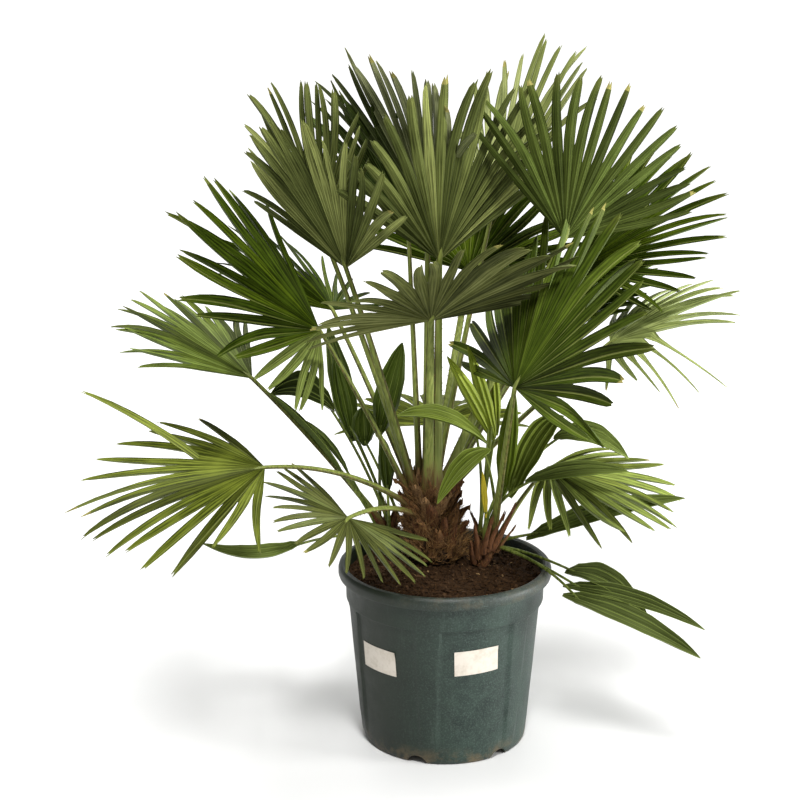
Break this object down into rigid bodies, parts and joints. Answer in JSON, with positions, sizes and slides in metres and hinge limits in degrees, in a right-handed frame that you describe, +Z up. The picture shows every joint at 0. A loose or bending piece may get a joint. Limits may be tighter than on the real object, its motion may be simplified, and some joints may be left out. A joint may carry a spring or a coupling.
{
  "type": "potted european fan palm",
  "caption": "Low bushy fan palm with pleated fan leaves on slender petioles, a fibrous stem and young side shoots, in a round ribbed nursery pot.",
  "frame": {"origin": "middle of the whole plant seen from above, at the level the pot stands on", "axes": "+Z up along the pot, -Y towards the viewer of the picture, +X to the viewer's right"},
  "size_m": [1.1856, 0.9162, 1.2497],
  "materials": {
    "compost": "crumbly, matte",
    "leaf_dark": "satin",
    "leaf_fresh": "satin",
    "leaf_olive": "satin",
    "leaf_pale": "satin",
    "petiole_skin": "smooth, satin",
    "pot_plastic": "matte, moulded, dusty",
    "stem_fibre": "fibrous, matte"
  },
  "bodies": {
    "root": {"compost": "compost", "fan_01": "leaf_olive", "fan_02": "leaf_olive", "fan_03": "leaf_olive", "fan_04": "leaf_dark", "fan_05": "leaf_fresh", "fan_06": "leaf_fresh", "fan_07": "leaf_fresh", "fan_08": "leaf_fresh", "fan_09": "leaf_dark", "fan_10": "leaf_olive", "fan_11": "leaf_olive", "fan_12": "leaf_olive", "fan_13": "leaf_olive", "fan_14": "leaf_dark", "fan_15": "leaf_pale", "fan_16": "leaf_fresh", "fan_17": "leaf_dark", "fan_18": "leaf_dark", "fan_19": "leaf_dark", "fan_20": "leaf_fresh", "petiole_01": "petiole_skin", "petiole_02": "petiole_skin", "petiole_03": "petiole_skin", "petiole_04": "petiole_skin", "petiole_05": "petiole_skin", "petiole_06": "petiole_skin", "petiole_07": "petiole_skin", "petiole_08": "petiole_skin", "petiole_09": "petiole_skin", "petiole_10": "petiole_skin", "petiole_11": "petiole_skin", "petiole_12": "petiole_skin", "petiole_13": "petiole_skin", "petiole_14": "petiole_skin", "petiole_15": "petiole_skin", "petiole_16": "petiole_skin", "petiole_17": "petiole_skin", "petiole_18": "petiole_skin", "petiole_19": "petiole_skin", "petiole_20": "petiole_skin", "pot": "pot_plastic", "shoot_left": "stem_fibre", "shoot_right": "stem_fibre", "stem": "stem_fibre", "young_01": "leaf_fresh", "young_02": "leaf_fresh", "young_03": "leaf_fresh", "young_04": "leaf_fresh", "young_05": "leaf_fresh", "young_06": "leaf_fresh", "young_07": "leaf_fresh", "young_08": "leaf_fresh", "young_09": "leaf_fresh", "young_10": "leaf_fresh", "young_11": "leaf_fresh", "young_12": "leaf_fresh", "young_13": "leaf_fresh", "young_14": "leaf_fresh"}
  },
  "joints": []
}
